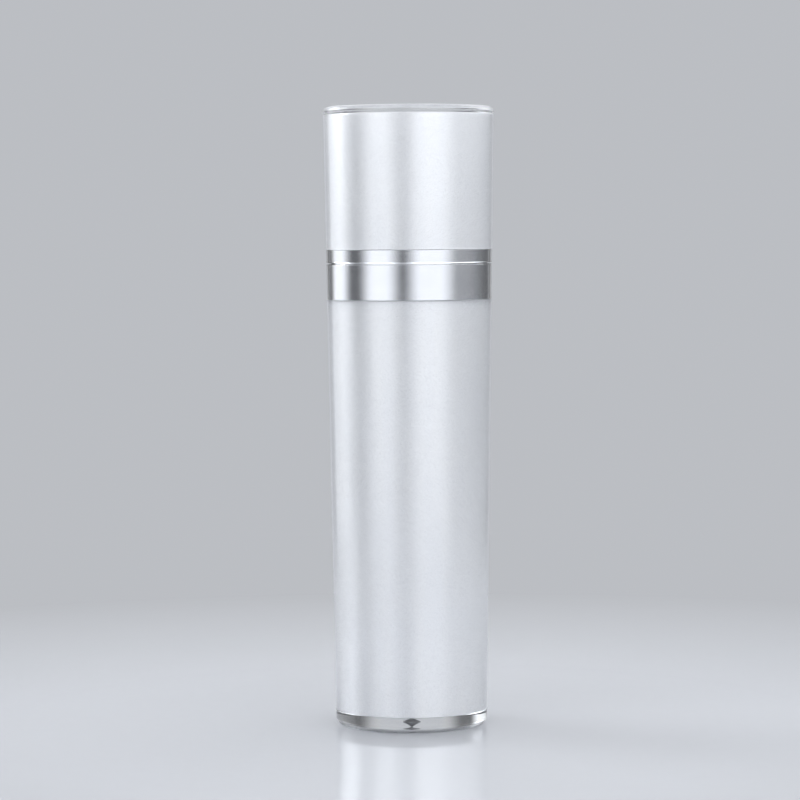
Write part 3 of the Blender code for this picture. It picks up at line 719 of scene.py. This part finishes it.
def collar():
    """White collar round the neck, plain inside."""
    inner = THREAD_RADIUS + FIT
    ceiling = COLLAR_CROWN - COLLAR_TOP
    corners = [
        Corner(COLLAR_RADIUS, COLLAR_BOTTOM, EDGE_SOFT),
        Corner(COLLAR_RADIUS, COLLAR_CROWN, EDGE_ROUND),
        Corner(CROWN_HOLE, COLLAR_CROWN, EDGE_SOFT),
        Corner(CROWN_HOLE, ceiling, EDGE_SOFT),
        Corner(inner, ceiling, EDGE_ROUND),
        Corner(inner, COLLAR_BOTTOM, EDGE_SOFT),
    ]
    piece = turned("collar", corners, [WHITE], BODY_STEPS)
    return dressed(piece, "closure_cap", "closure")


def collar_cover():
    """Plated sleeve over the collar, with a soft shoulder and a rolled edge round the stem's hole."""
    bottom, crown, outer = span("closure_cover")
    inner = outer - COVER_WALL
    corners = [
        Corner(outer, bottom, EDGE_ROUND),
        Corner(outer, crown, COVER_WALL),
        Corner(CROWN_HOLE, crown, EDGE_ROUND),
        Corner(CROWN_HOLE, crown - COVER_WALL, EDGE_SOFT),
        Corner(inner, crown - COVER_WALL, EDGE_SOFT),
        Corner(inner, bottom, EDGE_ROUND),
    ]
    piece = turned("collar_cover", corners, [SILVER], BODY_STEPS)
    return dressed(piece, "closure_cover", "closure")


def sealing_washer():
    """Flat washer between the neck's top and the pump's flange."""
    bottom, top, outer = span("neck_gasket")
    inner = NECK_RADIUS - NECK_WALL + FIT
    corners = edged(((inner, bottom), (outer, bottom), (outer, top), (inner, top)), EDGE_ROUND)
    return dressed(turned("sealing_washer", corners, [RUBBER]), "neck_gasket", "pump")


def bored_forward(name, radius, start, end, level, flare=0.0):
    """A drill along -Y at a level, between two distances off the axis, whose far end opens by the flare."""
    corners = [
        Corner(0.0, start),
        Corner(radius, start),
        Corner(radius, end - flare),
        Corner(radius + flare, end),
        Corner(0.0, end),
    ]
    drill = turned(name, corners, [], DRILL_STEPS)
    places = np.empty(len(drill.data.vertices) * 3)
    drill.data.vertices.foreach_get("co", places)
    x, y, z = places.reshape(-1, 3).T
    drill.data.vertices.foreach_set("co", np.stack((x, -z, level + y), axis=-1).ravel())
    return drill


def pump_cylinder():
    """Pump housing: flange, chamber with its vent, bore, spring ledge, ball cage, seat and tube socket."""
    bottom, top, flange = span("pump_housing")
    under = span("neck_gasket")[1] + FIT
    chamber = span("housing_retainer")[0] - FIT
    ledge = span("return_spring")[0] - FIT
    cage = span("inlet_ball")[2] + FIT
    cage_top = ledge - CAGE_LIP
    socket_top = span("dip_tube")[1] + FIT
    seat = socket_top + SEAT_THICKNESS
    socket = span("dip_tube")[2] + FIT
    wide, narrow = CHAMBER_RADIUS + PUMP_WALL, PUMP_BORE + PUMP_WALL
    outside = [
        (flange, top), (flange, under), (wide, under), (wide, chamber - PUMP_WALL),
        (narrow, chamber - PUMP_WALL), (narrow, cage_top), (cage + PUMP_WALL, cage_top - PUMP_WALL),
        (cage + PUMP_WALL, socket_top), (socket + PUMP_WALL, socket_top - PUMP_WALL),
        (socket + PUMP_WALL, bottom),
    ]
    inside = [
        (socket, bottom), (socket, socket_top), (SEAT_RADIUS, socket_top), (SEAT_RADIUS, seat), (cage, seat),
        (cage, cage_top), (SEAT_RADIUS, cage_top), (SEAT_RADIUS, ledge), (PUMP_BORE, ledge),
        (PUMP_BORE, chamber), (CHAMBER_RADIUS, chamber), (CHAMBER_RADIUS, top),
    ]
    piece = turned("pump_cylinder", edged(outside + inside, EDGE_SOFT), [WHITE])
    vent = bored_forward("vent", VENT_RADIUS, CHAMBER_RADIUS - FIT, wide + FIT, (chamber + under) / 2)
    return dressed(carved(piece, vent, "DIFFERENCE"), "pump_housing", "pump")


def guide_plug():
    """Plug in the housing's top: flange under the collar, boss in its hole, stem guide and skirt."""
    bottom, crown, rim = span("housing_retainer")
    seat = span("pump_housing")[1] + FIT
    top = seat + RETAINER_FLANGE
    guide = top - RETAINER_GUIDE
    outer = CHAMBER_RADIUS - FIT
    hole = STEM_RADIUS + FIT
    boss = CROWN_HOLE - FIT
    places = [
        (rim, seat), (rim, top), (boss, top), (boss, crown), (hole, crown), (hole, guide),
        (outer - RETAINER_SKIRT, guide), (outer - RETAINER_SKIRT, bottom), (outer, bottom), (outer, seat),
    ]
    piece = turned("guide_plug", edged(places, 2 * EDGE_SOFT), [WHITE])
    return dressed(piece, "housing_retainer", "pump")


def suction_tube():
    """Drawn tube, cut square in its socket and on a slant over the bottle's floor."""
    low, top, outer = span("dip_tube")
    bottom = low + TUBE_SLANT * outer
    inner = outer - TUBE_WALL
    corners = [
        Corner(outer, bottom, TUBE_EDGE, row=outer / 4),
        Corner(outer, top, TUBE_EDGE),
        Corner(inner, top, TUBE_EDGE, row=outer / 4),
        Corner(inner, bottom, TUBE_EDGE),
    ]

    def slanted(radius, height, angle):
        near = np.clip(1 - (height - bottom) / outer, 0, 1)
        return radius, height + near * TUBE_SLANT * radius * np.cos(angle)

    piece = turned("suction_tube", corners, [WAXY], TUBE_STEPS, slanted)
    return dressed(piece, "dip_tube", "pump")


def coil_spring():
    """Wire carried along a helix, with closed end turns.

    After t turns the wire's middle is at the mean radius and angle 2 pi t. It climbs a little over a wire's
    width in the first turn and in the last, and between them nearly evenly, slower at both ends. A point of
    the wire's skin lies a wire's radius from its middle, at a second angle between outward and up. Each end
    closes on its middle.
    """
    bottom, top, outer = span("return_spring")
    closed = 2 * SPRING_WIRE * SPRING_CLOSED_PITCH
    open_rise = top - bottom - 2 * SPRING_WIRE - 2 * closed
    turns = np.linspace(0, SPRING_TURNS, SPRING_TURNS * SPRING_STEPS + 1)[:, None]
    share = np.clip((turns - 1) / (SPRING_TURNS - 2), 0, 1)
    eased = share * share * (3 - 2 * share) * SPRING_EASE + share * (1 - SPRING_EASE)
    last = np.clip(turns - (SPRING_TURNS - 1), 0, 1)
    climb = bottom + SPRING_WIRE + closed * (np.minimum(turns, 1) + last) + open_rise * eased
    wire = np.full_like(turns, SPRING_WIRE)
    wire[[0, -1]] = 0
    wire[[1, -2]] = SPRING_WIRE * SPRING_END
    side = 2 * math.pi * np.arange(WIRE_STEPS)[None] / WIRE_STEPS
    radius = outer - SPRING_WIRE + wire * np.cos(side)
    height = climb + wire * np.sin(side)
    angle = 2 * math.pi * turns
    places = np.stack((radius * np.cos(angle), radius * np.sin(angle), height), axis=-1).reshape(-1, 3)
    index = np.arange(len(places)).reshape(-1, WIRE_STEPS)
    low, high = index[:-1], index[1:]
    quads = np.stack((low, high, np.roll(high, -1, axis=1), np.roll(low, -1, axis=1)), axis=-1)
    piece = mesh_piece("coil_spring", places, [(quads.reshape(-1, 4), 0)], [STEEL])
    return dressed(piece, "return_spring", "pump")


def stem():
    """Hollow stem with its stop flange."""
    bottom, top, flange = span("pump_stem")
    under = bottom + STEM_TAIL
    stop = under + STEM_FLANGE
    places = [
        (STEM_RADIUS, top), (STEM_RADIUS, stop), (flange, stop), (flange, under), (STEM_RADIUS, under),
        (STEM_RADIUS, bottom), (STEM_BORE, bottom), (STEM_BORE, top),
    ]
    piece = turned("stem", edged(places, EDGE_SOFT), [WHITE])
    return dressed(piece, "pump_stem", "plunger")


def valve_rod():
    """Rod pressed in the stem, with the head that closes the piston's bore."""
    bottom, top, head = span("piston_rod")
    corners = [
        Corner(0.0, bottom),
        Corner(head, bottom, EDGE_SOFT),
        Corner(head, bottom + ROD_HEAD, EDGE_ROUND),
        Corner(ROD_RADIUS, bottom + ROD_HEAD, EDGE_SOFT),
        Corner(ROD_RADIUS, top, EDGE_ROUND),
        Corner(0.0, top),
    ]
    return dressed(turned("valve_rod", corners, [WAXY]), "piston_rod", "plunger")


def sliding_seal():
    """Piston with a soft lip at each end and a waist between them."""
    bottom, top, lip = span("pump_piston")
    waist = lip - PISTON_WAIST
    places = [
        (lip, bottom), (lip, bottom + PISTON_LIP), (waist, bottom + 2 * PISTON_LIP),
        (waist, top - 2 * PISTON_LIP), (lip, top - PISTON_LIP), (lip, top),
        (PISTON_BORE, top), (PISTON_BORE, bottom),
    ]
    piece = turned("sliding_seal", edged(places, EDGE_SOFT), [WAXY])
    return dressed(piece, "pump_piston", "piston")


def valve_ball():
    """Steel ball, as two corners rounded by its whole radius."""
    bottom, top, radius = span("inlet_ball")
    corners = edged(((0.0, bottom), (radius, bottom), (radius, top), (0.0, top)), radius)
    piece = turned("valve_ball", corners, [STEEL], BALL_STEPS)
    return dressed(piece, "inlet_ball", "inlet_valve")


def spout(outer, reach, level):
    """Nozzle along -Y that flares into the pad's side.

    A ring at distance s in front of the side has radius r(s): a straight taper, plus a quarter circle that
    leaves the side flat and ends a flare's length out. Near the side each point starts where the pad's
    cylinder is at that point, and the rings even out to flat ones at the tip, which is rounded.
    """
    soft = 2 * EDGE_SOFT
    straight = reach - outer - soft
    flare = NOZZLE_FLARE * np.linspace(0, 1, FLARE_STEPS + 1)
    body = NOZZLE_FLARE + (straight - NOZZLE_FLARE) * np.linspace(0, 1, NOZZLE_LENGTH_STEPS + 1)[1:]
    turn = np.radians(np.linspace(0, 90, TIP_STEPS + 1))[1:]
    ahead = np.concatenate(([-NOZZLE_SINK], flare, body))
    taper = NOZZLE_ROOT + (NOZZLE_TIP - NOZZLE_ROOT) * np.clip(ahead / straight, 0, 1)
    out = np.clip(1 - np.clip(ahead, 0, None) / NOZZLE_FLARE, 0, 1)
    size = taper + NOZZLE_FLARE * (1 - np.sqrt(np.clip(1 - out**2, 0, 1)))
    ahead = np.concatenate((ahead, straight + soft * np.sin(turn)))[:, None]
    size = np.concatenate((size, NOZZLE_TIP - soft + soft * np.cos(turn)))[:, None]
    angle = 2 * math.pi * np.arange(NOZZLE_STEPS)[None] / NOZZLE_STEPS
    x, up = size * np.cos(angle), size * np.sin(angle)
    follow = np.clip(1 - ahead / (straight * NOZZLE_EVEN), 0, 1)
    dip = outer - np.sqrt(outer**2 - x**2)
    y = -(outer + ahead - dip * follow)
    y[0] = NOZZLE_FLARE + NOZZLE_SINK - outer
    index = np.arange(x.size).reshape(x.shape)
    places = np.stack((x, y, level + up), axis=-1).reshape(-1, 3)
    places = np.vstack((places, (0, y[0, 0], level), (0, -reach, level)))
    blocks = [
        (skin(index[:-1], index[1:]), 0),
        (fan(x.size, index[0], -1), 0),
        (fan(x.size + 1, index[-1], 1), 0),
    ]
    return mesh_piece("spout", places, blocks, [WHITE])


def finger_pad():
    """Pad with a dished top, skirt and hub, and the nozzle drilled from the hub to its tip."""
    low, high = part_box("actuator_head")
    outer, reach = high.x, -low.y
    ceiling = span("pump_stem")[1] + FIT
    level = ceiling + OUTLET_RADIUS + FIT
    well = level + OUTLET_RADIUS + FIT
    hole = STEM_RADIUS + FIT
    recess = low.z + PAD_RECESS
    dish = outer - 2 * PAD_EDGE
    curve = (dish**2 + DISH_DEPTH**2) / (2 * DISH_DEPTH)

    def hollow(radius):
        return DISH_DEPTH - curve + math.sqrt(curve**2 - radius**2)

    corners = [Corner(radius, high.z - hollow(radius)) for radius in dish * np.linspace(0, 1, DISH_POINTS)]
    corners += [
        Corner(outer, high.z, PAD_EDGE),
        Corner(outer, low.z, EDGE_ROUND),
        Corner(outer - PAD_WALL, low.z, EDGE_ROUND),
        Corner(outer - PAD_WALL, recess, EDGE_ROUND),
        Corner(hole + HUB_WALL, recess, EDGE_ROUND),
        Corner(hole + HUB_WALL, low.z, EDGE_ROUND),
        Corner(hole, low.z, EDGE_ROUND),
        Corner(hole, ceiling),
        Corner(STEM_BORE, ceiling),
        Corner(STEM_BORE, well),
        Corner(0.0, well),
    ]
    piece = turned("finger_pad", corners, [WHITE], BODY_STEPS)
    piece = carved(piece, spout(outer, reach, level), "UNION")
    drill = bored_forward("outlet", OUTLET_RADIUS, 0.0, reach + FIT, level, FIT)
    return dressed(carved(piece, drill, "DIFFERENCE"), "actuator_head", "head")


clear_bottle()
clear_cap()
cap_cup()
silver_ring()
liquid_bottle()
collar()
collar_cover()
sealing_washer()
pump_cylinder()
guide_plug()
suction_tube()
spring = coil_spring()
stem()
valve_rod()
sliding_seal()
valve_ball()
finger_pad()

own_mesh(spring)


def stage_mesh(name, x, y, z, finish):
    """A sheet for the set from grids of places."""
    grid = np.stack(np.broadcast_arrays(x, y, z), axis=-1)
    rows, columns = grid.shape[:2]
    index = np.arange(rows * columns).reshape(rows, columns)
    quads = np.stack((index[:-1, :-1], index[:-1, 1:], index[1:, 1:], index[1:, :-1]), axis=-1)
    sheet = mesh_piece(name, grid.reshape(-1, 3), [(quads.reshape(-1, 4), 0)], [finish])
    return sheet


def glowing(tree, colour):
    """A light of its own for a set's sheet."""
    node = tree.nodes.new("ShaderNodeEmission")
    node.inputs["Color"].default_value = (*colour, 1.0)
    return node


def table_finish():
    """Pale polished table whose tone runs into the backdrop's with distance, and which then clears away."""
    finish, tree, shader = finish_tree("pale_table", TABLE_COLOUR, 0.08)
    places = own_places(tree)
    grain = cloud(tree, places, 220, 3.0)
    tree.links.new(spread(tree, grain, 0.07, 0.10), shader.inputs["Roughness"])
    glow = glowing(tree, BACKDROP)
    clear = tree.nodes.new("ShaderNodeBsdfTransparent")
    surface = shader.outputs["BSDF"]
    distance = length(tree, places)
    for reach, shown in ((TABLE_FADE, glow.outputs["Emission"]), (TABLE_CLEARING, clear.outputs["BSDF"])):
        mix = tree.nodes.new("ShaderNodeMixShader")
        tree.links.new(between(tree, distance, *reach, 0.0, 1.0), mix.inputs["Fac"])
        tree.links.new(surface, mix.inputs[1])
        tree.links.new(shown, mix.inputs[2])
        surface = mix.outputs["Shader"]
    tree.links.new(surface, tree.nodes["Material Output"].inputs["Surface"])
    return finish


def table():
    """A round table top in rings about the axis, closer together near the bottle."""
    radius = np.concatenate(([0.0], np.geomspace(TABLE_INNER_RING, TABLE_CLEARING[1], TABLE_RINGS)))[:, None]
    angle = np.linspace(0, 2 * math.pi, TABLE_STEPS + 1)[None]
    level = np.full((1, 1), -TABLE_DROP)
    stage_mesh("table", radius * np.cos(angle), radius * np.sin(angle), level, table_finish())


def screen_finish():
    """The screen's glow: a dim level and the sum of the lamps behind it, each over its band of azimuths."""
    finish = bpy.data.materials.new("lit_screen")
    finish.use_nodes = True
    tree = finish.node_tree
    tree.nodes.remove(tree.nodes["Principled BSDF"])
    x, y, z = separated(tree, own_places(tree))
    front = tree.nodes.new("ShaderNodeMath")
    front.operation = "MULTIPLY"
    front.inputs[1].default_value = -1
    tree.links.new(y, front.inputs[0])
    azimuth = summed(tree, x, front.outputs["Value"], "ARCTAN2")
    level = between(tree, z, *SCREEN_STEP, *SCREEN_DIM)
    for start, full, fall, end, *strengths in SCREEN_LAMPS:
        rising = between(tree, azimuth, math.radians(start), math.radians(full), 0.0, 1.0, smooth=True)
        falling = between(tree, azimuth, math.radians(end), math.radians(fall), 0.0, 1.0, smooth=True)
        share = summed(tree, rising, falling, "MINIMUM")
        glow = between(tree, z, *SCREEN_STEP, *strengths)
        level = summed(tree, level, summed(tree, share, glow, "MULTIPLY"))
    light = glowing(tree, SCREEN_TINT)
    tree.links.new(level, light.inputs["Strength"])
    tree.links.new(light.outputs["Emission"], tree.nodes["Material Output"].inputs["Surface"])
    return finish


def screen():
    """A curved screen round the bottle, open at its back, that is mirrored but not seen by the camera.

    It reaches below the table's level, so that the lower walls mirror it past the table.
    """
    turn = np.radians(np.linspace(-SCREEN_END, SCREEN_END, SCREEN_STEPS + 1))[None]
    height = np.linspace(-SCREEN_DROP, SCREEN_HEIGHT, SCREEN_ROWS + 1)[:, None]
    sheet = stage_mesh(
        "screen", SCREEN_RADIUS * np.sin(turn), -SCREEN_RADIUS * np.cos(turn), height, screen_finish()
    )
    sheet.visible_camera = False
    sheet.visible_shadow = False


def lamp(name, azimuth, elevation, distance, width, height, strength):
    """A soft lamp at an azimuth from the camera's and an elevation, that looks at the bottle's middle."""
    light = bpy.data.lights.new(name, "AREA")
    light.shape = "RECTANGLE"
    light.size, light.size_y = width, height
    light.energy = strength * width * height * math.pi
    holder = bpy.data.objects.new(name, light)
    place = Matrix.Rotation(math.radians(azimuth), 4, "Z") @ Matrix.Rotation(-math.radians(elevation), 4, "X")
    holder.matrix_world = (
        Matrix.Translation((0, 0, TOTAL_HEIGHT / 2)) @ place @ Matrix.Translation((0, -distance, 0))
        @ Matrix.Rotation(math.pi / 2, 4, "X")
    )
    holder.visible_camera = False
    bpy.context.scene.collection.objects.link(holder)


def surroundings():
    """Backdrop, table, screen and two fill lamps."""
    world = bpy.data.worlds.new("backdrop")
    world.use_nodes = True
    world.node_tree.nodes["Background"].inputs["Color"].default_value = (*BACKDROP, 1.0)
    bpy.context.scene.world = world
    table()
    screen()
    lamp("front_fill", azimuth=-12, elevation=42, distance=1.7, width=2.6, height=1.8, strength=0.16)
    lamp("rear_fill", azimuth=160, elevation=40, distance=1.7, width=2.2, height=1.4, strength=1.0)


def camera():
    """The photograph's view: in front of the bottle, at its cap's height, turned and rolled slightly."""
    data = bpy.data.cameras.new("camera")
    data.sensor_width = SENSOR_WIDTH
    data.lens = FOCAL_PIXELS / PICTURE_WIDTH * SENSOR_WIDTH
    data.clip_start = NEAREST_SEEN
    eye = bpy.data.objects.new("camera", data)
    aim = Euler((math.radians(90 - CAMERA_PITCH), 0, math.radians(CAMERA_YAW))).to_matrix().to_4x4()
    roll = Matrix.Rotation(math.radians(CAMERA_ROLL), 4, "Z")
    eye.matrix_world = Matrix.Translation(CAMERA_PLACE) @ aim @ roll
    bpy.context.scene.collection.objects.link(eye)
    bpy.context.scene.camera = eye


surroundings()
camera()
bpy.context.scene.view_settings.view_transform = "Standard"
